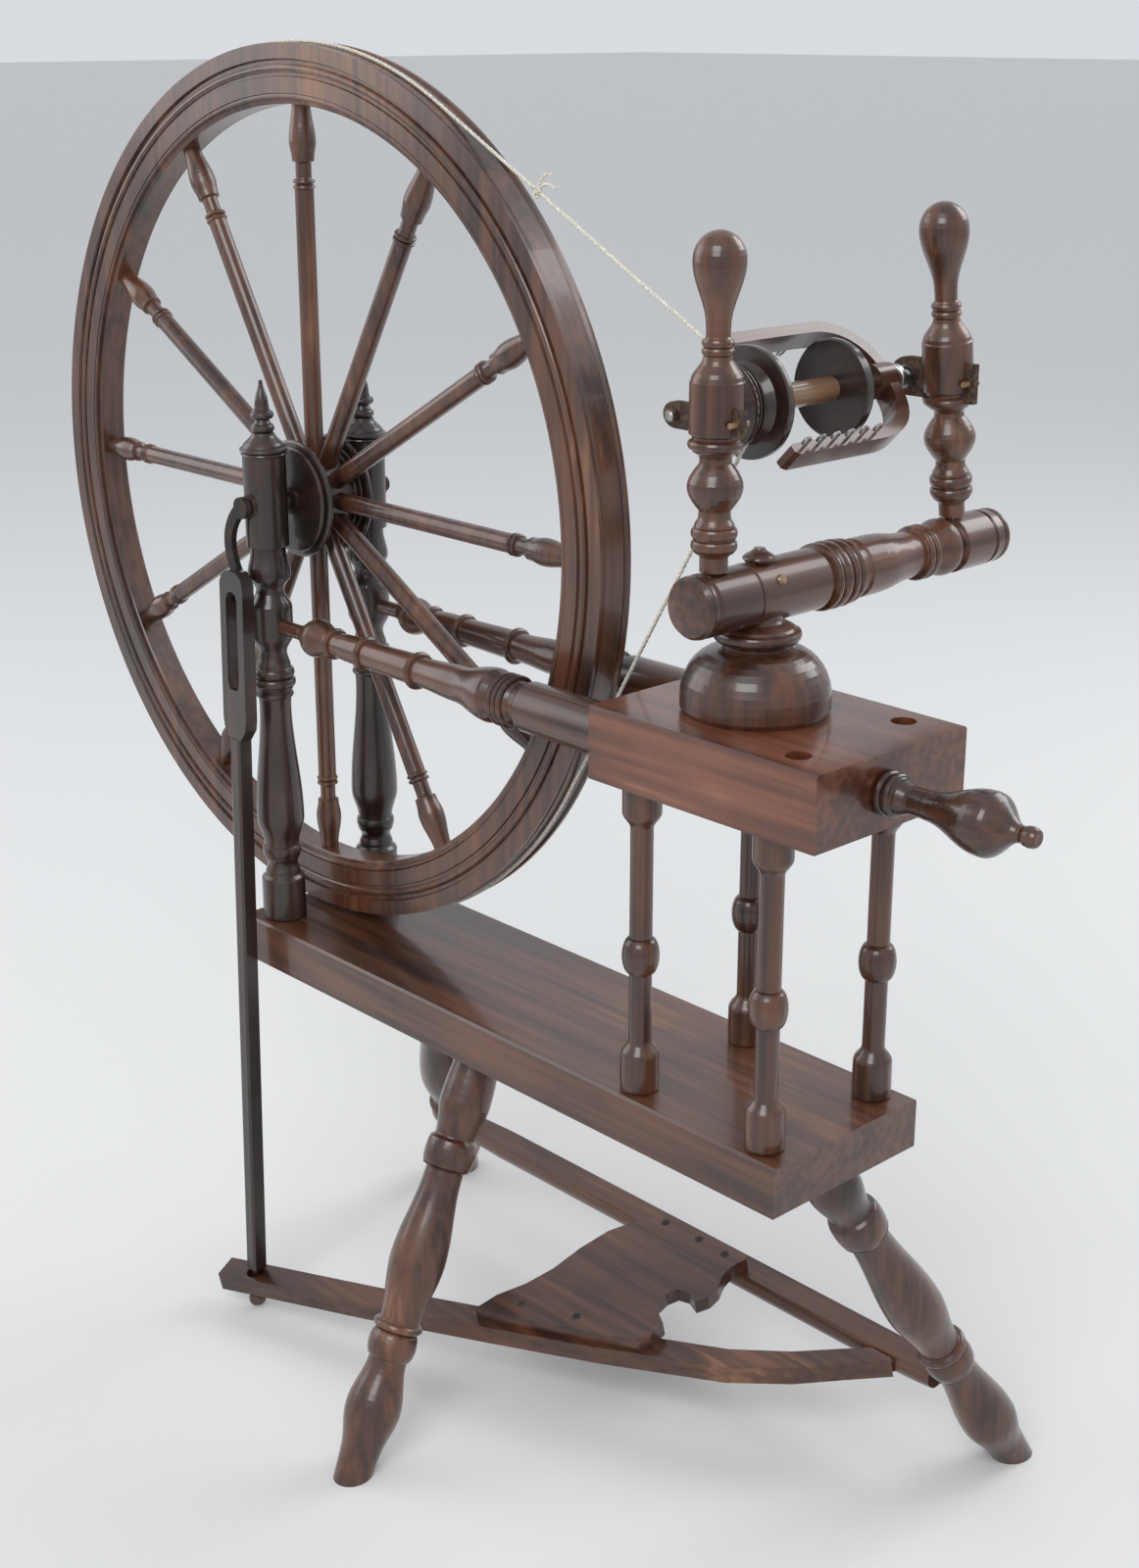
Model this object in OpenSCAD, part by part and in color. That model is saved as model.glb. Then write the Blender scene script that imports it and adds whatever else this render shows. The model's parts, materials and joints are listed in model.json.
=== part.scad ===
// Saxony spinning wheel with two tables, in millimetres. Z is up, the floor is at z = 0 and the
// drive wheel's axle runs along Y. The crank and the footman are on the -Y side.

/* [Drive wheel] */
// Radius of the wheel over its tread
wheel_r = 280; // [270:1:290]
// Width of the rim across the tread
rim_w = 24; // [20:1:28]
// Depth of the rim from the tread to the inner edge
rim_d = 36; // [30:1:42]
// Number of felloes in the rim
felloe_count = 4; // [4:1:6]
// Number of spokes
spoke_count = 12; // [8:2:14]
// Radius of a spoke's plain shaft
spoke_r = 6; // [5:0.1:7]
// Half length of the hub
hub_half = 23; // [21:0.5:24]
// Radius of the hub's flanges
hub_r = 38; // [34:1:42]
// Radius of the iron axle
axle_r = 5; // [4:0.1:6]
// Throw of the crank, from the axle to its pin
crank_throw = 58; // [50:1:62]
// Gap between the tread and the lower table
wheel_gap = 4; // [3:0.5:10]

/* [Tables] */
// Height of the lower table's top above the floor
table_top = 293; // [280:1:310]
// Length of the lower table
table_len = 485; // [475:1:500]
// Width of both tables
table_w = 120; // [114:1:130]
// Thickness of the lower table
table_t = 30; // [26:1:34]
// Overhang of the lower table to the left of the axle
table_left = 20; // [18:1:30]
// Length of the upper table
upper_len = 163; // [155:1:170]
// Thickness of the upper table
upper_t = 42; // [38:1:46]
// Distance from the axle to the upper table's left end
upper_x = 321; // [316:1:326]
// Bevel on the tables' top edges
table_bevel = 1.5; // [0.5:0.1:3]
// Diameter of the two peg holes in the upper table
peg_hole_d = 14; // [10:0.5:16]
// Depth of the peg holes
peg_hole_depth = 20; // [14:1:20]

/* [Turned supports] */
// Visible length of the spindles between the tables
spindle_len = 184; // [170:1:196]
// Radius of the spindles' plain shaft
spindle_r = 6.5; // [5:0.1:7.5]
// Spacing of the spindles along the table
spindle_dx = 96; // [86:1:104]
// Distance of the spindles from the table's middle line
spindle_y = 45; // [40:1:48]
// Radius of the wheel posts' drums
post_r = 13.8; // [13:0.1:15]
// Distance of the wheel posts from the wheel's plane
post_y = 40; // [39:0.5:43]
// Radius of the legs at their fullest
leg_r = 18; // [15:0.5:20]

/* [Treadle] */
// Height of the treadle rail's axis above the floor
rail_z = 67; // [60:1:75]
// Radius of the treadle rail
rail_r = 11; // [9:0.5:12]
// Thickness of the treadle arm
arm_t = 14; // [12:0.5:16]
// Thickness of the treadle board
board_t = 10; // [8:0.5:12]
// Width of the footman's slotted head
head_w = 25; // [22:0.5:28]
// Thickness of the footman's head
head_t = 9; // [7:0.5:9.5]

/* [Mother-of-all] */
// Distance from the axle to the mother-of-all
bar_x = 388; // [384:1:396]
// Radius of the mother-of-all's bar
bar_r = 17; // [15:0.5:18]
// Height of the bar's axis above the upper table
bar_h = 65; // [62:1:72]
// Radius of the dome under the bar
dome_r = 41; // [36:0.5:44]
// Travel of the mother-of-all each way on the tension screw
tension_travel = 20; // [10:1:20]
// Lean of the far maiden towards the flyer, in degrees
far_lean = 7.5; // [0:0.5:9]
// Radius of the maidens' drums
maiden_r = 14; // [12:0.5:15]

/* [Flyer] */
// Distance of the spindle from the maidens, towards the wheel
flyer_out = 26; // [25:0.5:29]
// Height of the spindle above the bar's axis
flyer_h = 95; // [92:0.5:98]
// Radius of the steel spindle
steel_r = 3; // [2.5:0.1:3.5]
// Radius of the orifice tube
tube_r = 6.5; // [5.5:0.1:7.5]
// Bore radius of the orifice
orifice_r = 4.5; // [3.5:0.1:4.8]
// Distance of the flyer's arms from the spindle
arm_out = 37; // [35:0.5:40]
// Width of a flyer arm
arm_w = 14; // [11:0.5:16]
// Thickness of a flyer arm
arm_d = 7; // [5:0.5:8]
// Number of hooks on each arm
hook_count = 6; // [3:1:7]
// Radius of the bobbin's near flange
bobbin_r = 30; // [26:0.5:31]
// Radius of the flyer whorl
whorl_r = 24.5; // [20:0.5:26]
// Diameter of the drive band's cord
cord_d = 2.4; // [1.6:0.1:2.4]

/* [Hidden] */

// Where the wheel stands from the middle of the whole object's footprint
origin_x = -149.2;
origin_y = -20.4;
// Clearances
run_fit = 0.06;
seat_gap = 0.05;
round_fn = 48;

// Heights and places that follow from the sizes above
axle_z = table_top + wheel_gap + wheel_r;
upper_z = table_top + spindle_len;
upper_top = upper_z + upper_t;
rim_in = wheel_r - rim_d;
spindle_x = [upper_x + 27, upper_x + 27 + spindle_dx];
stay_z = upper_z + upper_t / 2;
bar_z = upper_top + bar_h;
flyer_x = bar_x - flyer_out;
flyer_z = bar_z + flyer_h;
rail_y = 128;

// Turned profiles, as [radius, height] points
function bead(z0, z1, r, out, n = 8) =
    [for (i = [0 : n]) let (a = 180 * i / n) [r + out * sin(a), z0 + (z1 - z0) * (1 - cos(a)) / 2]];
function swell(z0, r0, z1, r1, n = 8) =
    [for (i = [0 : n]) let (t = i / n) [r0 + (r1 - r0) * (1 - cos(180 * t)) / 2, z0 + (z1 - z0) * t]];
function straight(z0, r0, z1, r1) = [[r0, z0], [r1, z1]];
function raised(profile, dz) = [for (p = profile) [p[0], p[1] + dz]];
function last(list) = list[len(list) - 1];

module turned(profile) {
    clean = [for (i = [0 : len(profile) - 1]) if (i == 0 || norm(profile[i] - profile[max(0, i - 1)]) > 0.01) profile[i]];
    rotate_extrude($fn = round_fn)
        polygon(concat([[0, clean[0][1]]], clean, [[0, last(clean)[1]]]));
}
module rod(r, z0, z1) translate([0, 0, z0]) cylinder(r = r, h = z1 - z0, $fn = round_fn);
module along_x() rotate([0, 90, 0]) children();
module along_y() rotate([-90, 0, 0]) children();
module place() translate([origin_x, origin_y, 0]) children();
// Turns the Z axis into the line from point a to point b
module aim(a, b) {
    d = b - a;
    translate(a) rotate([0, acos(d[2] / norm(d)), atan2(d[1], d[0])]) children();
}

// Drive wheel
spoke_tenon_r = 4.5;
spoke_tenon = 12;
foot_tenon_r = 3.5;
foot_tenon = 7;
barrel_r = hub_r - 11;
joint_angle = 38;
groove_y = 8.5;
groove_half = 1.5;
module rim_section() {
    w = rim_w / 2;
    d = rim_d / 36;
    face = concat([[wheel_r, w]],
        [[wheel_r - 9.4 * d, w], [wheel_r - 10.4 * d, w - 2.2], [wheel_r - 12.6 * d, w - 2.2]],
        [for (i = [0 : 6]) let (a = 180 * i / 6)
            [wheel_r - (15.1 - 2.3 * cos(a)) * d, w - 1.6 + 1.8 * sin(a)]],
        [[wheel_r - 19.4 * d, w - 1.6], [wheel_r - 20 * d, w - 0.4], [wheel_r - 29.6 * d, w - 0.4]],
        [for (i = [0 : 5]) let (a = 180 * i / 5)
            [wheel_r - (31.2 - 1.5 * cos(a)) * d, w - 1.4 + 1.2 * sin(a)]],
        [[wheel_r - 33 * d, w - 2.6], [rim_in + 0.6, w - 2.9], [rim_in, w - 3.6]]);
    mirrored = [for (i = [len(face) - 1 : -1 : 0]) [face[i][0], -face[i][1]]];
    groove = [for (s = [-1, 1]) for (k = [-1, 0, 1])
        [wheel_r - (k == 0 ? 2 : (k == s ? 0 : 0.8)), s * groove_y + k * groove_half]];
    polygon(concat(face, mirrored, groove));
}
module felloe(k) {
    color("saddlebrown") place() translate([0, 0, axle_z]) difference() {
        step = 360 / felloe_count;
        along_y() rotate([0, 0, -joint_angle - k * step])
            rotate_extrude(angle = -step, $fn = 96) rim_section();
        spoke_axes() translate([0, 0, rim_in - 1])
            cylinder(r = spoke_tenon_r + seat_gap, h = spoke_tenon + 1.2, $fn = round_fn);
    }
}
module spoke_axes() {
    for (i = [0 : spoke_count - 1]) rotate([0, i * 360 / spoke_count, 0]) children();
}
module spokes() {
    top = rim_in - 0.05;
    bulb = spoke_r + 2.4;
    color("sienna") place() translate([0, 0, axle_z]) spoke_axes() {
        turned(concat(
            straight(barrel_r - foot_tenon, foot_tenon_r, barrel_r - 1, foot_tenon_r),
            straight(barrel_r - 1, spoke_r, top - 51, spoke_r),
            bead(top - 51, top - 48, spoke_r - 0.8, 1.8, 6),
            bead(top - 47.6, top - 44.6, spoke_r - 0.8, 1.8, 6),
            straight(top - 44, spoke_r - 1, top - 37, spoke_r - 1),
            [[spoke_r - 1, top - 35], [spoke_r + 1, top - 34]],
            swell(top - 33, spoke_r + 1, top - 22, bulb),
            swell(top - 22, bulb, top, spoke_r - 0.2),
            straight(top, spoke_tenon_r, top + spoke_tenon, spoke_tenon_r)));
    }
}
module hub() {
    color([0.12, 0.08, 0.07]) place() translate([0, 0, axle_z]) difference() {
        along_y() turned(hub_profile());
        along_y() rod(axle_r + seat_gap, -hub_half - 1, hub_half + 1);
        spoke_axes() rod(foot_tenon_r + seat_gap, barrel_r - foot_tenon - 0.2, hub_r);
        spoke_axes() rod(spoke_r + seat_gap, barrel_r - 1, hub_r);
    }
}
function hub_profile() = let (h = hub_half, half = concat(
        [[9, -h], [9, -h + 1.6], [14, -h + 2.2], [hub_r - 7, -h + 2.2]],
        bead(-h + 2.2, -h + 5.2, hub_r - 6, 2.2, 6),
        bead(-h + 5.6, -h + 9.2, hub_r - 3.5, 3.5, 6),
        bead(-h + 9.6, -h + 12.2, hub_r - 7, 2.6, 6),
        swell(-h + 12.6, hub_r - 8, -h + 15.5, barrel_r, 4)))
    concat(half, [for (i = [len(half) - 1 : -1 : 0]) [half[i][0], -half[i][1]]]);

// Iron axle with its crank
arm_y0 = -post_y - 20.5;
arm_th = 4;
pin_r = 4;
crank_bow = 15;
function crank_path(t) = [-crank_bow * sin(180 * pow(t, 0.8)), -crank_throw * t];
module crank_axle() {
    n = 20;
    half = 4;
    function side(i) = let (p = crank_path(i / n), q = crank_path(min(1, i / n + 0.02)),
        m = crank_path(max(0, i / n - 0.02)), d = q - m) [-d[1], d[0]] / norm(d) * half;
    outline = concat([for (i = [0 : n]) crank_path(i / n) + side(i)],
        [for (i = [n : -1 : 0]) crank_path(i / n) - side(i)]);
    color([0.15, 0.14, 0.15]) place() translate([0, 0, axle_z]) {
        along_y() rod(axle_r, arm_y0 + arm_th, post_y + 17);
        translate([0, arm_y0 + arm_th, 0]) rotate([90, 0, 0]) linear_extrude(arm_th) union() {
            polygon(outline);
            circle(r = 7, $fn = round_fn);
            translate([0, -crank_throw]) circle(r = 5.6, $fn = round_fn);
        }
        translate([0, 0, -crank_throw]) along_y() rod(pin_r, arm_y0 - 0.9, arm_y0 + 1);
    }
}

// Tables
leg_tenon_r = 11;
leg_tenon = 22;
leg_tops = [[182, -16], [432, 10], [62, 28]];
leg_feet = [[198, -147.5], [469, 176], [-57.5, 162]];
leg_collars = [[212, 92], [249, 115], [232, 104]];
function leg_top(i) = [leg_tops[i][0], leg_tops[i][1], table_top - table_t];
function leg_foot(i) = [leg_feet[i][0], leg_feet[i][1], 0];
function leg_length(i) = norm(leg_top(i) - leg_foot(i));
// The legs' tenons are shaved to twelve flats
module leg_tenon_bar(i, r, below, above) {
    translate([0, 0, leg_length(i) - below]) cylinder(r = r, h = below + above, $fn = 12);
}
module board_block(x0, length, z0, thick) {
    b = table_bevel;
    translate([x0, 0, z0]) rotate([90, 0, 90]) linear_extrude(length)
        polygon([[-table_w / 2, 0], [table_w / 2, 0], [table_w / 2, thick - b],
            [table_w / 2 - b, thick], [-table_w / 2 + b, thick], [-table_w / 2, thick - b]]);
}
module lower_table() {
    color([0.32, 0.17, 0.12]) place() difference() {
        board_block(-table_left, table_len, table_top - table_t, table_t);
        for (x = spindle_x) for (y = [-spindle_y, spindle_y])
            translate([x, y, 0]) rod(spindle_tenon_r + seat_gap, table_top - spindle_tenon - 0.2, table_top + 1);
        for (y = [-post_y, post_y])
            translate([0, y, 0]) rod(post_tenon_r + seat_gap, table_top - post_tenon - 0.2, table_top + 1);
        for (i = [0 : 2]) aim(leg_foot(i), leg_top(i))
            leg_tenon_bar(i, leg_tenon_r + seat_gap, 14, leg_tenon + 0.2);
    }
}
slot_half_y = 8;
tenon_half_x = 12;
screw_y = -6;
screw_z = upper_z + upper_t / 2;
screw_r = 6;
keeper_x = upper_x + upper_len - 12;
module upper_table() {
    color([0.42, 0.20, 0.14]) place() difference() {
        board_block(upper_x, upper_len, upper_z, upper_t);
        for (x = spindle_x) for (y = [-spindle_y, spindle_y])
            translate([x, y, 0]) rod(spindle_tenon_r + seat_gap, upper_z - 1, upper_z + spindle_tenon + 0.2);
        for (y = [-post_y, post_y]) translate([upper_x, y, stay_z]) along_x()
            rod(stay_tenon_r + seat_gap, -1, stay_tenon + 0.2);
        translate([bar_x - tenon_half_x - tension_travel - 0.5, -slot_half_y - 6 - 0.3, upper_z - 1])
            cube([2 * (tenon_half_x + tension_travel + 0.5), 2 * slot_half_y + 12 + 0.6, upper_t + 2]);
        translate([0, screw_y, screw_z]) along_x() rod(screw_r + run_fit, screw_end - 0.5, upper_x + upper_len + 1);
        translate([keeper_x, screw_y, 0]) rod(keeper_r + seat_gap, upper_z - 1, screw_z);
        for (y = [-42, 42]) translate([peg_hole_x, y, 0])
            rod(peg_hole_d / 2, upper_top - peg_hole_depth, upper_top + 1);
    }
}
peg_hole_x = upper_x + upper_len - 28;

// Turned supports
spindle_tenon_r = 5.5;
spindle_tenon = 16;
module table_spindle(x, y) {
    h = spindle_len;
    r = spindle_r;
    cup = r + 4.6;
    color("saddlebrown") place() translate([x, y, table_top]) turned(concat(
        straight(-spindle_tenon, spindle_tenon_r, 0, spindle_tenon_r),
        [[cup - 0.8, 0], [cup, 1.2], [cup + 0.2, 6], [cup, 22]],
        swell(22, cup, 31, r),
        straight(31, r, h / 2 - 20, r),
        bead(h / 2 - 20, h / 2 + 1.4, r - 0.2, 4.4, 12),
        straight(h / 2 + 2, r, h - 25.5, r),
        swell(h - 25.5, r, h - 16, cup),
        [[cup, h - 2], [cup - 0.6, h]],
        straight(h, spindle_tenon_r, h + spindle_tenon, spindle_tenon_r)));
}
post_tenon_r = 10;
post_tenon = 22;
function post_profile() = let (a = axle_z - table_top, r = post_r) concat(
    straight(-post_tenon, post_tenon_r, 0, post_tenon_r),
    [[r + 0.2, 0], [r + 0.9, 1], [r + 0.7, 28]],
    swell(28, r + 0.7, 32, r - 2, 4),
    swell(32, r - 2, 39, r - 3.8, 4),
    swell(39, r - 3.8, 45, r - 1.6, 4),
    bead(45, 52, r - 2, 1.2, 6),
    swell(52, r - 2.2, 72, r + 2.1),
    swell(72, r + 2.1, a - 134, r - 3.4, 12),
    [[r - 3, a - 128.5]],
    bead(a - 128, a - 124.6, r - 2.6, 1.4, 4),
    swell(a - 124.2, r - 2.6, a - 121, r - 1, 3),
    bead(a - 121, a - 115, r - 1.4, 1.8, 6),
    bead(a - 114.6, a - 108.5, r - 2, 1.8, 6),
    swell(a - 108, r - 2.4, a - 98, r - 4.6, 5),
    swell(a - 98, r - 4.6, a - 86, r + 0.2, 6),
    straight(a - 86, r + 0.2, a - 68, r + 0.2),
    swell(a - 68, r + 0.2, a - 56, r - 4.8, 6),
    swell(a - 56, r - 4.8, a - 46, r + 0.2, 6),
    swell(a - 46, r + 0.2, a - 30, r - 2.4, 6),
    [[r - 2.6, a - 27.4], [r, a - 26.6]],
    straight(a - 26, r, a, r));
module wheel_post(s) {
    color([0.16, 0.10, 0.09]) place() translate([0, s * post_y, 0]) difference() {
        translate([0, 0, table_top]) turned(post_profile());
        translate([0, 0, axle_z]) along_y() rod(bush_r + seat_gap, -post_r - 1, post_r + 1);
        translate([0, 0, stay_z]) along_x() rod(stay_tenon_r + seat_gap, 1.8, post_r + 2);
        cap_dowels(seat_gap);
    }
}
// Two dowels under the cap keep it on the post
module cap_dowels(gap) {
    for (x = [-1, 1]) translate([x * (post_r - 3), 0, axle_z]) rod(1.6 + gap, -9 - gap, gap);
}
module post_cap(s) {
    r = post_r;
    color([0.16, 0.10, 0.09]) place() translate([0, s * post_y, 0]) {
        difference() {
            translate([0, 0, axle_z + 0.05]) turned(concat(
                straight(0, r, 31.5, r), bead(31.5, 33.6, r - 0.6, 1.4, 4), bead(33.8, 37, r - 0.2, 1.8, 6),
                swell(37, r - 0.4, 46, 7, 6), bead(46.4, 51.4, 5.6, 2, 6),
                swell(51.6, 5.6, 54, 4.6, 3), bead(54.6, 59.8, 5, 2.6, 6),
                swell(60, 5, 64, 4.4, 3), swell(64, 4.4, 78.8, 1.2, 6)));
            translate([0, 0, axle_z]) along_y() rod(bush_r + seat_gap, -post_r - 1, post_r + 1);
        }
        cap_dowels(0);
    }
}
bush_r = 7.5;
module axle_bush(s) {
    color([0.25, 0.17, 0.12]) place() translate([0, s * post_y, axle_z]) along_y() difference() {
        rod(bush_r, -post_r + 0.4, post_r - 0.4);
        rod(axle_r + run_fit, -post_r, post_r);
    }
}
stay_tenon_r = 5;
stay_tenon = 14;
module stay(s) {
    // The stay starts inside the post's bulge and ends in the upper table's left face
    x0 = 2;
    x1 = upper_x;
    color("sienna") place() translate([0, s * post_y, stay_z]) along_x() turned(concat(
        straight(x0, stay_tenon_r, post_r + 0.25, stay_tenon_r),
        straight(post_r + 0.25, 4.8, 34, 4.8),
        swell(34, 5.4, 50, 12.4), swell(50, 12.4, 66, 8),
        bead(66.4, 70.4, 7.6, 2.6, 6),
        swell(71, 7.8, 84, 8.6, 3),
        straight(84, 8.6, 98, 9), bead(98, 102.4, 8.4, 2.6, 6),
        swell(103, 8.6, 148, 9.4, 5), bead(148.4, 153, 9, 2.8, 6),
        swell(153.6, 9, 190, 11, 6), swell(190, 11, 221, 16.4, 8),
        swell(221, 16.4, 229, 13.6, 4),
        bead(229.4, 233, 13.4, 2.6, 6), bead(233.4, 237, 13.4, 2.6, 6), bead(237.4, 241.4, 13.2, 2.8, 6),
        [[11.8, 244], [11.8, 249], [14.4, 250.4]],
        straight(252, 15, x1 - 2, 15.4), [[14.8, x1]],
        straight(x1, stay_tenon_r, x1 + stay_tenon, stay_tenon_r)));
}
function leg_profile(i) = let (length = leg_length(i), c1 = leg_collars[i][0], c2 = leg_collars[i][1], r = leg_r) concat(
    [[11.2, -14], [12.6, 13]],
    swell(14, 12.8, 44, r), swell(44, r, c2 - 16, r - 5.6),
    bead(c2 - 15, c2 + 3, r - 5.6, 3.2, 10), bead(c2 + 3.6, c2 + 9, r - 4.6, 2.6, 6),
    swell(c2 + 9.6, r - 5, c2 + 50, r), swell(c2 + 50, r, c1 - 14, r - 5.6, 10),
    [[r - 5.8, c1 - 11], [r - 2.6, c1 - 9.4]],
    bead(c1 - 9, c1 + 9, r - 3.2, 1.6, 8), [[r - 5, c1 + 10.4]],
    swell(c1 + 11, r - 5.2, c1 + 34, r - 1.6), swell(c1 + 34, r - 1.6, length - 13, r - 3.6, 6),
    [[r - 3.6, length + 14]]);
module leg(i) {
    color([0.30, 0.16, 0.11]) place() difference() {
        union() {
            intersection() {
                aim(leg_foot(i), leg_top(i)) rotate([0, 0, 90]) turned(leg_profile(i));
                translate([-500, -500, 0]) cube([1200, 1200, table_top - table_t]);
            }
            aim(leg_foot(i), leg_top(i)) leg_tenon_bar(i, leg_tenon_r, 6, leg_tenon);
        }
        if (i > 0) rail_pin_holes();
    }
}

// Treadle
rail_ends = [rail_hub(2) + 21, rail_hub(1) - 18];
function rail_hub(i) = leg_foot(i)[0] + (leg_top(i)[0] - leg_foot(i)[0]) * rail_z / (table_top - table_t);
pin_in = 16;
rail_pin_r = 4;
module rail_pin_holes() {
    translate([0, rail_y, rail_z]) along_x() {
        rod(rail_pin_r + run_fit, rail_ends[0] - pin_in - 0.5, rail_ends[0] + 1);
        rod(rail_pin_r + run_fit, rail_ends[1] - 1, rail_ends[1] + pin_in + 0.5);
    }
}
module rail_pins() {
    color([0.2, 0.2, 0.21]) place() translate([0, rail_y, rail_z]) along_x() {
        rod(rail_pin_r, rail_ends[0] - pin_in, rail_ends[0] + 12);
        rod(rail_pin_r, rail_ends[1] - 12, rail_ends[1] + pin_in);
    }
}
// The treadle lies on a plane that tilts about the rail; local Y runs down the slope
tilt = 12;
arm_end = 211.6;
module on_treadle() translate([0, rail_y, rail_z]) rotate([tilt, 0, 0]) children();
arm_to = [416, -11];
module treadle_rail() {
    color([0.28, 0.15, 0.11]) place() difference() {
        on_treadle() difference() {
            along_x() turned(concat(straight(rail_ends[0], rail_r - 2, rail_ends[0] + 10, rail_r - 1),
                straight(rail_ends[0] + 40, rail_r, rail_ends[1] - 40, rail_r),
                straight(rail_ends[1] - 10, rail_r - 1, rail_ends[1], rail_r - 2)));
            translate([rail_ends[0] - 1, -rail_r - 1, arm_t / 2])
                cube([rail_ends[1] - rail_ends[0] + 2, 2 * rail_r + 2, rail_r]);
            arm_tenon(seat_gap);
        }
        translate([0, rail_y, rail_z]) along_x() {
            rod(rail_pin_r + seat_gap, rail_ends[0] - 1, rail_ends[0] + 12.2);
            rod(rail_pin_r + seat_gap, rail_ends[1] - 12.2, rail_ends[1] + 1);
        }
    }
}
module arm_tenon(gap) {
    translate([arm_to[0] - 9 - gap, -rail_r - 0.1, -4 - gap]) cube([9 + 2 * gap, rail_r + 6, 8 + 2 * gap]);
}
module treadle_arm() {
    centre = [[-24, -221], [0, -arm_end], [90, -177], [174, -142.5], [250, -111], [330, -74],
        [365, -50], [388, -29], [arm_to[0] - 4, -8]];
    half = [9, 9, 9, 9, 8.6, 8, 7.4, 6.8, 6];
    m = len(centre);
    function edge(i, s) = let (d = centre[min(i + 1, m - 1)] - centre[max(i - 1, 0)])
        centre[i] + s * half[i] * [-d[1], d[0]] / norm(d);
    color([0.27, 0.14, 0.10]) place() difference() {
        on_treadle() {
            intersection() {
                translate([0, 0, -arm_t / 2]) linear_extrude(arm_t)
                    polygon(concat([for (i = [0 : m - 1]) edge(i, -1)], [for (i = [m - 1 : -1 : 0]) edge(i, 1)]));
                translate([-100, -300, -60]) cube([600, 300 - rail_r - 0.15, 100]);
            }
            arm_tenon(0);
        }
        footman_hole();
    }
}
module footman_hole() {
    h = arm_t / 2 + 0.5;
    on_treadle() translate([0, -arm_end, 0])
        turned([[neck_r + 3.4, -h], [neck_r + 0.55, -0.5], [neck_r + 0.55, 0.5], [neck_r + 3.4, h]]);
}
board_points = [[170, -148], [182, -144], [224, -127], [280, -104], [285, -96], [283, -82], [274, -77],
    [266, -70], [265, -61], [268, -53], [276, -51], [286, -55], [290, -46], [289, -36], [284, -26],
    [282, -16], [285, -3], [282, 0], [216, 0], [206, -6], [194, -22], [187, -38], [184, -62], [184, -88],
    [180, -110], [172, -130]];
module treadle_board() {
    color([0.26, 0.13, 0.09]) place() difference() {
        on_treadle() translate([0, 0, arm_t / 2 + seat_gap]) linear_extrude(board_t) polygon(board_points);
        nail_places() rod(nail_r + seat_gap, -1, board_t + 2);
    }
}
nail_r = 2.2;
nails = [[193, -126], [232, -112], [214, -8], [245, -7], [270, -8]];
module nail_places() {
    on_treadle() for (p = nails) translate([p[0], p[1], arm_t / 2 + seat_gap]) children();
}
module treadle_nails() {
    color([0.3, 0.3, 0.32]) place() nail_places() {
        rod(nail_r, 0.3, board_t);
        translate([0, 0, board_t]) cylinder(r1 = nail_r + 0.8, r2 = nail_r, h = 0.8, $fn = 24);
    }
}
foot_pivot = [0, -79, rail_z - 44];
neck_r = 3;
pin_place = [0, arm_y0 - head_t / 2 - 1.2, axle_z - crank_throw];
pin_h = norm(pin_place - foot_pivot);
module footman() {
    w = head_w / 2;
    color([0.13, 0.09, 0.08]) place() difference() {
        aim(foot_pivot, pin_place) {
            translate([-head_t / 2, 0, 0]) rotate([90, 0, 90]) linear_extrude(head_t) difference() {
                polygon([[-5.5, pin_h - 94], [5.5, pin_h - 94], [w - 1, pin_h - 86], [w, pin_h - 80],
                    [w, pin_h + 10], [w - 2, pin_h + 15], [w - 7, pin_h + 18.4], [7 - w, pin_h + 18.4],
                    [2 - w, pin_h + 15], [-w, pin_h + 10], [-w, pin_h - 80], [1 - w, pin_h - 86]]);
                polygon([[-6, pin_h - 55], [-4, pin_h - 60], [4, pin_h - 60], [6, pin_h - 55],
                    [6, pin_h], [4.2, pin_h + 4], [0, pin_h + 5.4], [-4.2, pin_h + 4], [-6, pin_h]]);
            }
            translate([0, 0, 10.5]) linear_extrude(pin_h - 104)
                polygon([[-4.4, -5.5], [4.4, -5.5], [5.5, -3.5], [5.5, 3.5], [4.4, 5.5], [-4.4, 5.5],
                    [-5.5, 3.5], [-5.5, -3.5]]);
        }
        aim(foot_pivot, pin_place) rod(neck_r + seat_gap, 9, 24.2);
    }
}
module footman_peg() {
    color([0.2, 0.12, 0.09]) place() aim(foot_pivot, pin_place)
        turned(concat(bead(-19, -10, 3.6, 2.6, 8), straight(-9.8, neck_r, 24, neck_r)));
}

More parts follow.
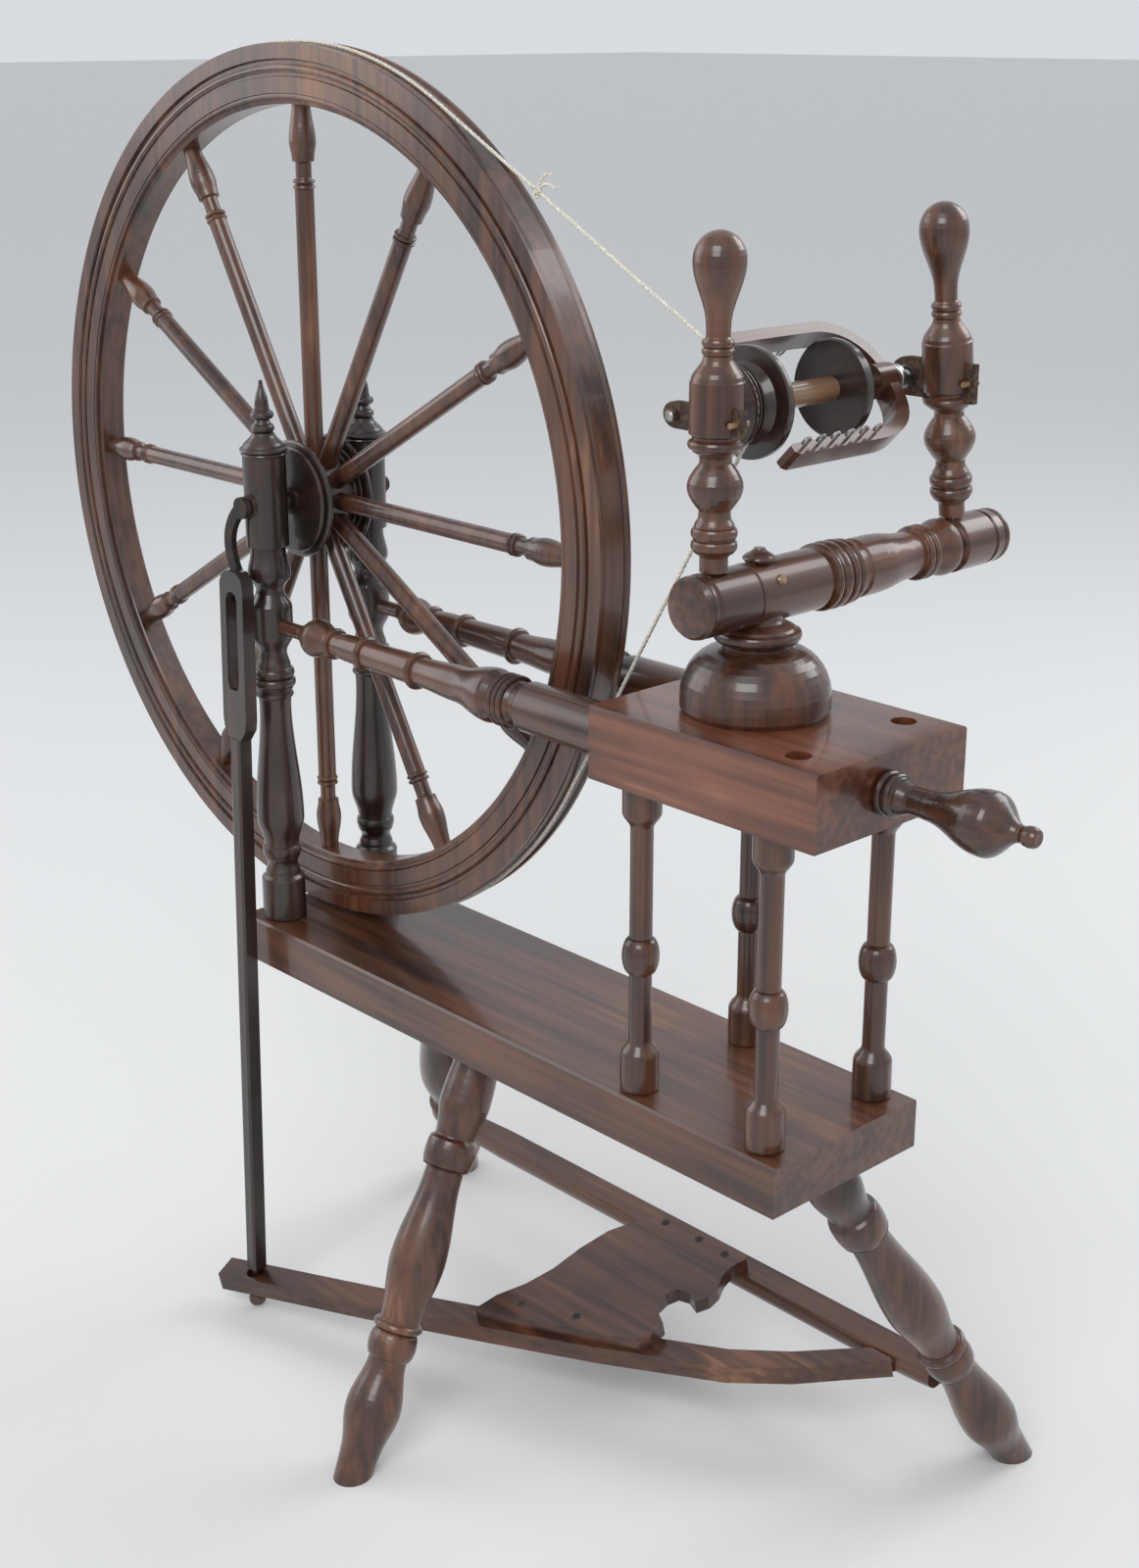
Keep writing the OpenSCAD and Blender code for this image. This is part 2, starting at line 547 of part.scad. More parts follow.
// Mother-of-all, which slides along the upper table
bar_y0 = -13;
bar_y1 = 201;
collar_y0 = -53;
maiden_near_y = -35;
maiden_far_y = 166;
post_hole_r = 8;
spigot_r = 7.5;
spigot_in = 35;
module dome_base() {
    r = dome_r;
    color([0.36, 0.18, 0.12]) place() translate([bar_x, 0, upper_top]) difference() {
        union() {
            difference() {
                translate([0, 0, seat_gap]) turned(concat([[r - 1.6, 0], [r, 3], [r, 8]],
                    [for (i = [1 : 9]) let (a = 9.6 * i) [19 + (r - 19) * cos(a), 8 + 27 * sin(a)]],
                    [[18.6, 36]], swell(36.6, 18.6, 40, 23, 3),
                    bead(40, 45, 22.6, 1.4, 6), swell(45.6, 21, 51, 13.4, 4), [[13, bar_h - 4]]));
                translate([0, 0, bar_h]) along_y() rod(bar_r + seat_gap, -60, 60);
            }
            rod(post_hole_r, 30, bar_h + bar_r - 1.5);
            translate([-tenon_half_x, -slot_half_y - 6, 1 - upper_t])
                cube([2 * tenon_half_x, 2 * slot_half_y + 12, upper_t + 4]);
        }
        translate([0, screw_y, -upper_t / 2]) along_x() rod(screw_r + run_fit, -30, 30);
        rod(3 + seat_gap, bar_h + 4.8, bar_h + bar_r + 2);
        translate([0, 0, bar_h]) bar_peg_place() rod(3 + seat_gap, -4.2, 30);
    }
}
function bar_profile() = concat(
    straight(bar_y0 - spigot_in, spigot_r, bar_y0, spigot_r),
    [[bar_r - 0.6, bar_y0], [bar_r, bar_y0 + 1], [bar_r, 41]],
    [[bar_r - 1.4, 42], [bar_r - 1.4, 44.5]], bead(45, 50, bar_r, 1.8, 6), bead(50.6, 58, bar_r - 0.4, 2.4, 8),
    bead(58.6, 64, bar_r - 0.4, 2.2, 6), bead(64.6, 70, bar_r - 0.6, 1.8, 6),
    [[bar_r - 1.6, 71.5], [bar_r - 1.6, 75], [bar_r - 0.4, 76.5], [bar_r - 0.4, 90]],
    swell(92, bar_r - 0.5, 121, bar_r - 3.6, 8), [[bar_r - 4.4, 127]],
    bead(127.6, 132.2, bar_r - 3.2, 2, 6), bead(132.8, 137.4, bar_r - 3.2, 2, 6),
    swell(138, bar_r - 5, 152, bar_r - 0.4, 7), swell(153, bar_r - 0.4, 160, bar_r - 3.4, 4),
    [[bar_r - 0.6, 161.4], [bar_r - 0.8, 186.4], [bar_r - 2, 187.2], [bar_r - 2, 189]],
    straight(189.6, bar_r - 1, 196, bar_r - 1.6), bead(196.4, bar_y1, bar_r - 2.6, 1.4, 6), [[8, bar_y1 + 0.2]]);
module bar() {
    color([0.33, 0.17, 0.12]) place() translate([bar_x, 0, bar_z]) difference() {
        along_y() turned(bar_profile());
        rod(post_hole_r + seat_gap, -30, 30);
        maiden_line_far() rod(maiden_tenon_r + seat_gap, 5, 40);
        bar_peg_place() rod(3 + seat_gap, -4.2, 30);
    }
}
module bar_peg_place() translate([0, 2, 0]) rotate([0, 58, 0]) children();
module bar_peg() {
    color([0.4, 0.25, 0.16]) place() translate([bar_x, 0, bar_z]) bar_peg_place() {
        rod(3, -4, bar_r + 0.5);
        translate([0, 0, bar_r + 0.5]) cylinder(r1 = 3, r2 = 2, h = 1.2, $fn = 24);
    }
}
module post_button() {
    color([0.36, 0.18, 0.12]) place() translate([bar_x, 0, bar_z])
        turned(concat(straight(5, 3, bar_r + 0.1, 3), [[8, bar_r + 0.1], [9, bar_r + 1.4]],
            swell(bar_r + 1.6, 9, bar_r + 7, 3, 6)));
}
module end_collar() {
    r = bar_r;
    color([0.33, 0.17, 0.12]) place() translate([bar_x, 0, bar_z]) difference() {
        along_y() turned(concat([[9, collar_y0 - 0.6], [r - 2, collar_y0], [r - 0.4, collar_y0 + 2]],
            bead(collar_y0 + 2.4, collar_y0 + 6, r - 1, 1, 4), [[r - 1, collar_y0 + 7], [r, collar_y0 + 9],
            [r, bar_y0 - 1.2], [r - 0.8, bar_y0 - 0.2]]));
        along_y() rod(spigot_r + run_fit, bar_y0 - spigot_in - 0.5, bar_y0);
        translate([0, maiden_near_y, 0]) rod(maiden_tenon_r + seat_gap, 9.6, 30);
    }
}
maiden_tenon_r = 5;
function maiden_profile(k) = let (r = maiden_r) concat(
    straight(bar_r + 0.2, r - 6.6, bar_r + 8, r - 6.6),
    swell(bar_r + 8.4, r - 6, 28 * k, r - 3, 3), bead(28 * k, 34 * k, r - 3.6, 1.8, 6),
    bead(34.4 * k, 40.5 * k, r - 3.6, 1.8, 6), swell(41 * k, r - 3.4, 46 * k, r - 5.6, 4),
    [for (i = [0 : 10]) let (a = 180 * i / 10)
        [r - 5.6 + 6.2 * sin(a), (49 + 24.5 * i / 10) * k]],
    [[r - 5.6, 76 * k]], swell(76.4 * k, r - 5.4, 81 * k, r - 0.8, 3),
    bead(81 * k, 85.4 * k, r - 0.6, 1.3, 5), [[r - 1.6, 86.2 * k], [r - 1.6, 87.4 * k], [r, 88.4 * k]],
    straight(89 * k, r + 0.2, 114.6 * k, r + 0.2), swell(115.4 * k, r - 0.4, 127.4 * k, r - 6.6, 6),
    bead(127.8 * k, 131.8 * k, r - 7, 1.4, 5), bead(132 * k, 136 * k, r - 7, 1.4, 5),
    [[r - 7.7, 137 * k], [r - 7.7, 141 * k]], swell(142 * k, r - 7.6, 174 * k, r - 0.3, 10),
    [for (i = [1 : 8]) let (a = 10.5 * i) [(r - 0.3) * cos(a), (174.6 + 14.4 * sin(a)) * k]]);
module maiden_line_far() translate([0, maiden_far_y, 0]) rotate([far_lean, 0, 0]) children();
module maiden_near() {
    color([0.20, 0.12, 0.10]) place() difference() {
        translate([bar_x, maiden_near_y, bar_z]) {
            difference() {
                turned(maiden_profile(1));
                translate([0, 5, 0]) along_y() rod(bar_r + seat_gap, -60, 60);
            }
            rod(maiden_tenon_r, 9.8, bar_r + 4);
        }
        leather_slot(leather_near_y, leather_near_h / 2);
        peg_row(leather_near_y) rod(1.6 + seat_gap, -8, 8);
    }
}
module maiden_far() {
    color([0.24, 0.14, 0.11]) place() difference() {
        translate([bar_x, 0, bar_z]) difference() {
            union() {
                maiden_line_far() turned(maiden_profile(1.03));
                maiden_line_far() rod(maiden_tenon_r, 5.2, bar_r + 4);
            }
            difference() {
                along_y() rod(bar_r + seat_gap, 0, 210);
                maiden_line_far() rod(maiden_tenon_r + 0.01, 0, 40);
            }
        }
        leather_slot(leather_far_y, leather_far_h / 2);
        peg_row(leather_far_y) rod(1.6 + seat_gap, -8, 8);
    }
}
leather_near_y = -36;
leather_far_y = 152.5;
leather_near_h = 14;
leather_far_h = 22;
leather_t = 4;
leather_x1 = bar_x + maiden_r + 6;
peg_x = bar_x + maiden_r + 2.1;
module leather_slot(y, h) {
    translate([bar_x - 30, y - leather_t / 2 - seat_gap, flyer_z - h - seat_gap])
        cube([60, leather_t + 2 * seat_gap, 2 * h + 2 * seat_gap]);
}
module peg_row(y) translate([peg_x, y, flyer_z]) along_y() children();
module leather(y, h, reach, hole) {
    place() difference() {
        union() {
            translate([flyer_x, y - leather_t / 2, flyer_z - h])
                cube([leather_x1 - flyer_x, leather_t, 2 * h]);
            translate([flyer_x, y, flyer_z]) scale([reach / h, 1, 1]) along_y()
                cylinder(r = h, h = leather_t, center = true, $fn = round_fn);
        }
        translate([flyer_x, y, flyer_z]) along_y() rod(hole + run_fit, -5, 5);
        peg_row(y) rod(1.6 + seat_gap, -8, 8);
    }
}
module leather_near() color([0.25, 0.17, 0.12]) leather(leather_near_y, leather_near_h / 2, 9, steel_r);
module leather_far() color([0.25, 0.17, 0.12]) leather(leather_far_y, leather_far_h / 2, 13, tube_r);
module wedge(y) {
    color([0.5, 0.36, 0.22]) place() peg_row(y) rod(1.6, -6.5, 6.5);
}

// Tension screw
keeper_r = 2.5;
screw_end = bar_x - tenon_half_x - tension_travel - 8;
module tension_screw() {
    face = upper_x + upper_len;
    color([0.30, 0.16, 0.11]) place() translate([0, screw_y, screw_z]) along_x() turned(concat(
        straight(screw_end, screw_r - 0.8, screw_end + 1, screw_r),
        straight(screw_end + 1, screw_r, keeper_x - 3, screw_r),
        straight(keeper_x - 3, screw_r - 2, keeper_x + 3, screw_r - 2),
        straight(keeper_x + 3, screw_r, face + 0.3, screw_r),
        [[10, face + 0.3]], bead(face + 0.6, face + 5, 10.4, 1.8, 6), bead(face + 5.4, face + 10, 10, 1.8, 6),
        swell(face + 10.4, 9.6, face + 19, 7.4, 4), straight(face + 19, 7.4, face + 27, 7.6),
        swell(face + 28, 7.8, face + 64, 17, 10), swell(face + 66, 17, face + 85, 4.4, 9),
        bead(face + 85.4, face + 94.4, 3.4, 2.2, 6)));
}
module screw_keeper() {
    color([0.45, 0.3, 0.2]) place() translate([keeper_x, screw_y, 0])
        rod(keeper_r, upper_z + 0.5, screw_z - screw_r + 1.6);
}

// Flyer and bobbin, drawn upright along their own axis and then laid along Y
roll = 44;
module on_flyer() translate([flyer_x, 0, flyer_z]) along_y() rotate([0, 0, roll]) children();
bow_y = 130;
tip_y = 18;
function bow_x(t, half, power) = half * pow(max(0, 1 - pow(t, power)), 1 / power);
module flyer_arms() {
    outer = arm_out + arm_d / 2;
    inner = arm_out - arm_d / 2;
    n = 12;
    right = concat([[inner + 1, tip_y], [outer - 2, tip_y], [outer, tip_y + 3]],
        [for (i = [0 : n]) let (t = sin(90 * i / n)) [bow_x(t, outer, 2.4), bow_y - 42 + 42 * t]]);
    under = concat([for (i = [n : -1 : 0]) let (t = sin(90 * i / n))
        [bow_x(t, inner, 2.4), bow_y - 44 + 36.5 * t]], [[inner, tip_y + 2]]);
    half = concat(right, under);
    color([0.16, 0.10, 0.09]) place() on_flyer() difference() {
        union() {
            for (s = [0, 1]) rotate([0, 0, s * 180]) translate([0, arm_w / 2, 0]) rotate([90, 0, 0])
                linear_extrude(arm_w) polygon(half);
            rod(10, bow_y - 14, bow_y + 1);
        }
        rod(steel_r + 1 + seat_gap, bow_y - 20, bow_y + 2);
        hook_places() rod(hook_wire + seat_gap, -3.2, 1);
    }
}
hook_wire = 0.8;
module hook_places() {
    gap = (bow_y - 42 - tip_y - 12) / (hook_count - 1);
    for (s = [0, 1]) rotate([0, 0, s * 180]) for (i = [0 : hook_count - 1])
        translate([arm_out, -arm_w / 2, tip_y + 8 + i * gap]) rotate([90, 0, 0]) children();
}
module flyer_hooks() {
    color("silver") place() on_flyer() hook_places() {
        cylinder(r = hook_wire, h = 6, $fn = 16);
        translate([0, 0, -3]) cylinder(r = hook_wire, h = 3, $fn = 16);
        translate([0, -2.4, 6]) rotate([90, 0, 90])
            rotate_extrude(angle = 230, $fn = 24) translate([2.4, 0]) circle(r = hook_wire, $fn = 14);
    }
}
module flyer_spindle() {
    color("silver") place() on_flyer() turned([[steel_r - 1, -44], [steel_r, -43], [steel_r, bow_y - 32],
        [steel_r + 2.4, bow_y - 31.4], [steel_r + 2.4, bow_y - 28], [steel_r + 1, bow_y - 27.4],
        [steel_r + 1, bow_y + 1.4]]);
}
module orifice_tube() {
    color("silver") place() on_flyer() difference() {
        turned([[8.4, bow_y + 1.1], [9, bow_y + 2], [9, bow_y + 4], [7.6, bow_y + 4.6], [7.6, bow_y + 5.6],
            [8.4, bow_y + 6.2], [8.4, bow_y + 8.4], [tube_r, bow_y + 9.4], [tube_r, bow_y + 27]]);
        rod(steel_r + 1 + seat_gap, bow_y, bow_y + 1.5);
        rod(orifice_r, bow_y + 5, bow_y + 30);
        translate([0, 0, bow_y + 14]) rotate([90, 0, 0]) cylinder(r = 3, h = 20, $fn = 32);
    }
}
groove_r = 20.3;
band_seat = cord_d / 2 + 0.15;
module flyer_whorl() {
    r = whorl_r;
    color([0.2, 0.12, 0.10]) place() on_flyer() difference() {
        turned([[9, -5], [10, -4.4], [12, -2.9], [r - 1, -2.9], [r, -2.4], [r, -1.9], [groove_r, -band_seat],
            [groove_r, band_seat], [r - 1.5, 1.9], [r - 1.5, 2.5], [groove_r, 3], [groove_r, 5],
            [r - 2.5, 5.6], [r - 2.5, 6.3], [r - 4, 6.8]]);
        rod(steel_r + seat_gap, -6, 8);
    }
}
bobbin_bore = steel_r + 0.08;
core_r = 7;
module bobbin_whorl() {
    color([0.3, 0.17, 0.12]) place() on_flyer() difference() {
        turned([[12, 7.6], [14, 8], [16, 9], [bobbin_r - 8, 14.6], [bobbin_r, 15.2], [bobbin_r + 0.3, 17],
            [bobbin_r, 20], [bobbin_r - 1, 20.5]]);
        rod(core_r - 1.5 + seat_gap, 7, 21);
    }
}
module bobbin_core() {
    color([0.42, 0.28, 0.18]) place() on_flyer() difference() {
        turned([[core_r - 1.5, 7.8], [core_r - 1.5, 20.55], [core_r, 20.55], [core_r, 82.95],
            [core_r - 1.5, 82.95], [core_r - 1.5, 90.8]]);
        rod(bobbin_bore, 7, 92);
    }
}
module bobbin_flange() {
    r = bobbin_r - 2.7;
    color([0.3, 0.17, 0.12]) place() on_flyer() difference() {
        turned([[r - 1, 83], [r, 84], [r, 87.4], [r - 1, 88], [13, 89.4], [12, 91]]);
        rod(core_r - 1.5 + seat_gap, 82, 92);
    }
}

// Drive band: one loop of cord round the wheel and the flyer whorl
band_big = wheel_r - 0.8 + cord_d / 2 + 0.05;
band_small = groove_r + cord_d / 2 + 0.05;
module drive_band() {
    c = [flyer_x, flyer_z - axle_z];
    color("ivory") place() translate([0, cord_d / 2, axle_z]) rotate([90, 0, 0]) linear_extrude(cord_d)
        difference() {
            band_outline(c, cord_d / 2);
            band_outline(c, -cord_d / 2);
        }
}
module band_outline(c, extra) {
    hull() {
        circle(r = band_big + extra, $fn = 180);
        translate(c) circle(r = band_small + extra, $fn = 48);
    }
}

felloe(0);  // felloe_1
felloe(1);  // felloe_2
felloe(2);  // felloe_3
felloe(3);  // felloe_4
spokes();
hub();
crank_axle();
lower_table();
upper_table();
leg(0);  // leg_a
leg(1);  // leg_b
leg(2);  // leg_c
table_spindle(spindle_x[0], -spindle_y);  // spindle_near_left
table_spindle(spindle_x[1], -spindle_y);  // spindle_near_right
table_spindle(spindle_x[0], spindle_y);  // spindle_far_left
table_spindle(spindle_x[1], spindle_y);  // spindle_far_right
wheel_post(-1);  // wheel_post_near
wheel_post(1);  // wheel_post_far
post_cap(-1);  // post_cap_near
post_cap(1);  // post_cap_far
axle_bush(-1);  // axle_bush_near
axle_bush(1);  // axle_bush_far
stay(-1);  // stay_near
stay(1);  // stay_far
treadle_rail();
rail_pins();
treadle_arm();
treadle_board();
treadle_nails();
footman();
footman_peg();
dome_base();
bar();
bar_peg();
post_button();
end_collar();
maiden_near();
maiden_far();
leather_near();
leather_far();
wedge(leather_near_y);  // wedge_near
wedge(leather_far_y);  // wedge_far
tension_screw();
screw_keeper();
flyer_arms();
flyer_hooks();
flyer_spindle();
orifice_tube();
flyer_whorl();
bobbin_whorl();
bobbin_core();
bobbin_flange();
drive_band();
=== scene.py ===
"""Looks of a saxony spinning wheel: woods, metals, leather, the twisted drive band, and the studio."""
import json
from math import acos, atan2, cos, hypot, pi, radians, sin

import bpy
import numpy as np
from mathutils import Matrix, Vector


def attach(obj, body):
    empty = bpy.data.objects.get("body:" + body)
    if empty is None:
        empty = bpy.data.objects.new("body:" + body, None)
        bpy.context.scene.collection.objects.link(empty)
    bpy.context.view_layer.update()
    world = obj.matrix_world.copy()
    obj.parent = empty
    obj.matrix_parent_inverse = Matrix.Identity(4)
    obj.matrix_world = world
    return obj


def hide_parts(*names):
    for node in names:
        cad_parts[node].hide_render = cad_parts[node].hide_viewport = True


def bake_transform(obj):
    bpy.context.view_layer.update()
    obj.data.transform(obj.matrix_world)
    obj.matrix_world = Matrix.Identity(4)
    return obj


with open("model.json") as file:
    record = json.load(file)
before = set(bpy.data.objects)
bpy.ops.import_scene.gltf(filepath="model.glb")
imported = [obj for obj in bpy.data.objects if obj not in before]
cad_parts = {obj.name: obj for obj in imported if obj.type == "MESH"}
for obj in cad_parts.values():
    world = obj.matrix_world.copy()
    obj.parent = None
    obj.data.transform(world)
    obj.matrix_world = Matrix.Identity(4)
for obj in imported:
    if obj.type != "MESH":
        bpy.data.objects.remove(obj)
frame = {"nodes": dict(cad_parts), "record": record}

bl_info = {
    "name": "Spinning wheel looks",
    "version": (1, 0, 0),
    "blender": (4, 5, 0),
    "location": "View3D > Sidebar > Wheel",
    "description": "Dresses the packed spinning wheel",
    "category": "Object",
}

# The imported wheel's own places, in metres
AXLE = np.array([-0.1492, -0.0204, 0.577])
FLYER = AXLE + np.array([0.362, 0.0, 0.102])
BAND_BIG = 0.28045
BAND_SMALL = 0.02155
KNOT_PLACE = 0.096  # along the upper run, from the wheel

# Nodes whose grain runs along X and along Y; the others' runs upright
LENGTHWAYS = """lower_table upper_table stay_near stay_far treadle_rail treadle_arm treadle_board
    tension_screw""".split()
CROSSWAYS = "bar end_collar hub flyer_arms bobbin_core flyer_whorl bobbin_whorl bobbin_flange".split()


class S:
    """A shader value: arithmetic on it adds Math nodes to the material."""

    def __init__(self, tree, socket):
        self.tree = tree
        self.socket = socket

    def node(self, kind, out=0, props=None, **inputs):
        """Adds any other node, with its settings and its inputs, and wraps one output."""
        n = self.tree.nodes.new(kind)
        for key, value in (props or {}).items():
            setattr(n, key, value)
        for key, value in inputs.items():
            spot = n.inputs[key.replace("_", " ")]
            if isinstance(value, S):
                self.tree.links.new(value.socket, spot)
            else:
                spot.default_value = value
        return S(self.tree, n.outputs[out])

    def maths(self, operation, other=0.0, swap=False):
        n = self.tree.nodes.new("ShaderNodeMath")
        n.operation = operation
        pair = (other, self) if swap else (self, other)
        for spot, value in zip(n.inputs, pair):
            if isinstance(value, S):
                self.tree.links.new(value.socket, spot)
            else:
                spot.default_value = value
        return S(self.tree, n.outputs[0])

    def __add__(self, other): return self.maths("ADD", other)
    def __radd__(self, other): return self.maths("ADD", other)
    def __sub__(self, other): return self.maths("SUBTRACT", other)
    def __rsub__(self, other): return self.maths("SUBTRACT", other, True)
    def __rtruediv__(self, other): return self.maths("DIVIDE", other, True)
    def __mul__(self, other): return self.maths("MULTIPLY", other)
    def __rmul__(self, other): return self.maths("MULTIPLY", other)
    def __truediv__(self, other): return self.maths("DIVIDE", other)
    def __pow__(self, other): return self.maths("POWER", other)

    def step(self, low, high):
        """0 under low and 1 over high, smooth between."""
        return self.node("ShaderNodeMapRange", props={"interpolation_type": "SMOOTHSTEP"},
                         Value=self, From_Min=low, From_Max=high)


def new_material(name, colour, roughness, metallic=0.0, coat=0.0):
    """A material with its constants set, its object coordinates and its main shader."""
    m = bpy.data.materials.new(name)
    m.use_nodes = True
    m.diffuse_color = (*colour, 1)
    shader = m.node_tree.nodes["Principled BSDF"]
    shader.inputs["Base Color"].default_value = (*colour, 1)
    shader.inputs["Roughness"].default_value = roughness
    shader.inputs["Metallic"].default_value = metallic
    shader.inputs["Coat Weight"].default_value = coat
    shader.inputs["Coat Roughness"].default_value = 0.12
    where = m.node_tree.nodes.new("ShaderNodeTexCoord").outputs["Object"]
    return m, shader, S(m.node_tree, where)


def link(shader, name, value):
    value.tree.links.new(value.socket, shader.inputs[name])


def noise(place, scale, detail=4.0):
    """Noise with scale features a metre along each axis."""
    stretched = place.node("ShaderNodeMapping", Vector=place, Scale=scale)
    return place.node("ShaderNodeTexNoise", Vector=stretched, Scale=1.0, Detail=detail)


def mixed(factor, a, b):
    mix = factor.tree.nodes.new("ShaderNodeMix")
    mix.data_type = "RGBA"
    factor.tree.links.new(factor.socket, mix.inputs[0])
    for spot, value in ((mix.inputs[6], a), (mix.inputs[7], b)):
        if isinstance(value, S):
            factor.tree.links.new(value.socket, spot)
        else:
            spot.default_value = (*value, 1)
    return S(factor.tree, mix.outputs[2])


def wood(name, dark, light, worn, axis, gloss=0.5):
    """Varnished wood: fine grain stretched along axis, slow patches, and rubbed spots that are pale and dull."""
    m, shader, place = new_material(name, light, 0.35, coat=gloss)
    along = [190.0, 190.0, 190.0]
    along[axis] = 9.0
    grain = noise(place, along, detail=6.0)
    streak = noise(place, [v / 4 for v in along], detail=3.0)
    patch = noise(place, (9.0, 9.0, 9.0), detail=3.0)
    tone = (grain * 0.3 + streak * 0.35 + patch * 0.35).step(0.36, 0.64)
    rubbed = (patch * 0.6 + grain * 0.4).step(0.58, 0.72)
    link(shader, "Base Color", mixed(rubbed * 0.55, mixed(tone, dark, light), worn))
    link(shader, "Roughness", 0.26 + patch * 0.2 + rubbed * 0.2)
    link(shader, "Normal", place.node("ShaderNodeBump", Height=grain * 0.6 + streak * 0.4,
                                      Strength=0.25, Distance=0.0004))
    return m


def metal(name, colour, spots, roughness, metallic):
    """Metal with soft darker spots."""
    m, shader, place = new_material(name, colour, roughness, metallic)
    mark = noise(place, (130.0, 130.0, 130.0), detail=5.0)
    link(shader, "Base Color", mixed(mark.step(0.45, 0.7), colour, spots))
    link(shader, "Roughness", roughness + mark * 0.25)
    link(shader, "Normal", place.node("ShaderNodeBump", Height=mark, Strength=0.2, Distance=0.0004))
    return m


def soft(name, colour, shade, size):
    """Leather or cotton: a fine grain with darker pores."""
    m, shader, place = new_material(name, colour, 0.8)
    pores = noise(place, (size, size, size), detail=5.0)
    link(shader, "Base Color", mixed(pores.step(0.4, 0.65), shade, colour))
    link(shader, "Normal", place.node("ShaderNodeBump", Height=pores, Strength=0.4, Distance=0.0005))
    return m


def grain_axis(name):
    if name in LENGTHWAYS:
        return 0
    return 1 if name in CROSSWAYS else 2


def tube(name, path, radius, sides, twist, closed):
    """A cord as a swept ring.

    At path point p, with the frame (n, b), a side's point is p + r(a, s) (n cos a + b sin a), where
    r = radius (1 + 0.13 cos(3 (a - twist s))) gives three twisted strands, s being the length so far.
    """
    path = np.asarray(path, float)
    ahead = np.roll(path, -1, 0) if closed else np.vstack([path[1:], 2 * path[-1] - path[-2]])
    back = np.roll(path, 1, 0) if closed else np.vstack([2 * path[0] - path[1], path[:-1]])
    t = ahead - back
    t /= np.linalg.norm(t, axis=1)[:, None]
    n = np.cross(t, (0.02, 1.0, 0.01))
    n /= np.linalg.norm(n, axis=1)[:, None]
    b = np.cross(t, n)
    s = np.concatenate([[0], np.cumsum(np.linalg.norm(np.diff(path, axis=0), axis=1))])
    a = np.arange(sides) * 2 * pi / sides
    r = radius * (1 + 0.13 * np.cos(3 * (a[None, :] - twist * s[:, None])))
    ring = n[:, None, :] * np.cos(a)[None, :, None] + b[:, None, :] * np.sin(a)[None, :, None]
    points = (path[:, None, :] + r[:, :, None] * ring).reshape(-1, 3)
    count = len(path)
    i = np.arange(count if closed else count - 1)[:, None]
    j = np.arange(sides)[None, :]
    i2 = (i + 1) % count
    j2 = (j + 1) % sides
    faces = np.stack([i * sides + j, i2 * sides + j, i2 * sides + j2, i * sides + j2], 2)
    faces = faces.reshape(-1, 4).tolist()
    if not closed:
        faces += [list(range(sides)), list(range(count * sides - 1, (count - 1) * sides - 1, -1))]
    mesh = bpy.data.meshes.new(name)
    mesh.from_pydata(points.tolist(), [], faces)
    mesh.shade_smooth()
    obj = bpy.data.objects.new(name, mesh)
    bpy.context.scene.collection.objects.link(obj)
    return obj


def band_path(step):
    """The taut loop round wheel and whorl: two arcs joined by their outer tangents."""
    gap = FLYER - AXLE
    line = atan2(gap[2], gap[0])
    dist = hypot(gap[0], gap[2])
    lean = acos((BAND_BIG - BAND_SMALL) / dist)

    def arc(centre, radius, start, end):
        a = np.linspace(start, end, max(6, int(abs(end - start) * radius / step)))
        x = centre[0] + radius * np.cos(a)
        return np.stack([x, np.full_like(a, AXLE[1]), centre[2] + radius * np.sin(a)], 1)

    big = arc(AXLE, BAND_BIG, line + lean, line - lean + 2 * pi)
    small = arc(FLYER, BAND_SMALL, line - lean, line + lean)
    out = []
    for piece, after in ((big, small), (small, big)):
        run = int(np.linalg.norm(after[0] - piece[-1]) / step)
        out += [piece, piece[-1] + (after[0] - piece[-1]) * np.linspace(0, 1, run + 1)[1:-1, None]]
    return np.vstack(out)


class WheelSettings(bpy.types.PropertyGroup):
    gloss: bpy.props.FloatProperty(name="Varnish gloss", default=0.55, min=0, max=1)
    cord_width: bpy.props.FloatProperty(name="Cord width", default=0.0021, min=0.001, max=0.0022)
    cord_step: bpy.props.FloatProperty(name="Cord step", default=0.0008, min=0.0004, max=0.003)
    key_power: bpy.props.FloatProperty(name="Key light", default=34, min=1, max=200)


class WHEEL_OT_surfaces(bpy.types.Operator):
    """Gives every CAD node but the cord nodes its material"""
    bl_idname = "wheel.surfaces"
    bl_label = "Surfaces"

    def execute(self, context):
        gloss = context.scene.wheel_looks.gloss
        tones = {
            "brown_wood": ((0.020, 0.007, 0.004), (0.120, 0.042, 0.019), (0.30, 0.145, 0.070)),
            "red_wood": ((0.050, 0.014, 0.007), (0.190, 0.062, 0.028), (0.34, 0.165, 0.080)),
            "dark_wood": ((0.010, 0.006, 0.005), (0.035, 0.016, 0.011), (0.12, 0.06, 0.035)),
            "pale_wood": ((0.16, 0.08, 0.04), (0.34, 0.20, 0.11), (0.45, 0.30, 0.18)),
        }
        made = {
            "iron": metal("iron", (0.035, 0.034, 0.037), (0.07, 0.045, 0.035), 0.42, 0.7),
            "steel": metal("steel", (0.42, 0.42, 0.41), (0.20, 0.17, 0.14), 0.28, 1.0),
            "leather": soft("leather", (0.10, 0.055, 0.032), (0.03, 0.017, 0.011), 420.0),
        }
        rows = {row["node"]: row["material_slot"] for row in frame["record"]["subparts"]}
        for name, obj in frame["nodes"].items():
            kind = rows[name]
            if kind == "cord":
                continue
            if kind in tones:
                axis = grain_axis(name)
                key = f"{kind}_{axis}"
                if key not in made:
                    made[key] = wood(key, *tones[kind], axis, gloss)
            else:
                key = kind
            obj.data.materials.clear()
            obj.data.materials.append(made[key])
        return {"FINISHED"}


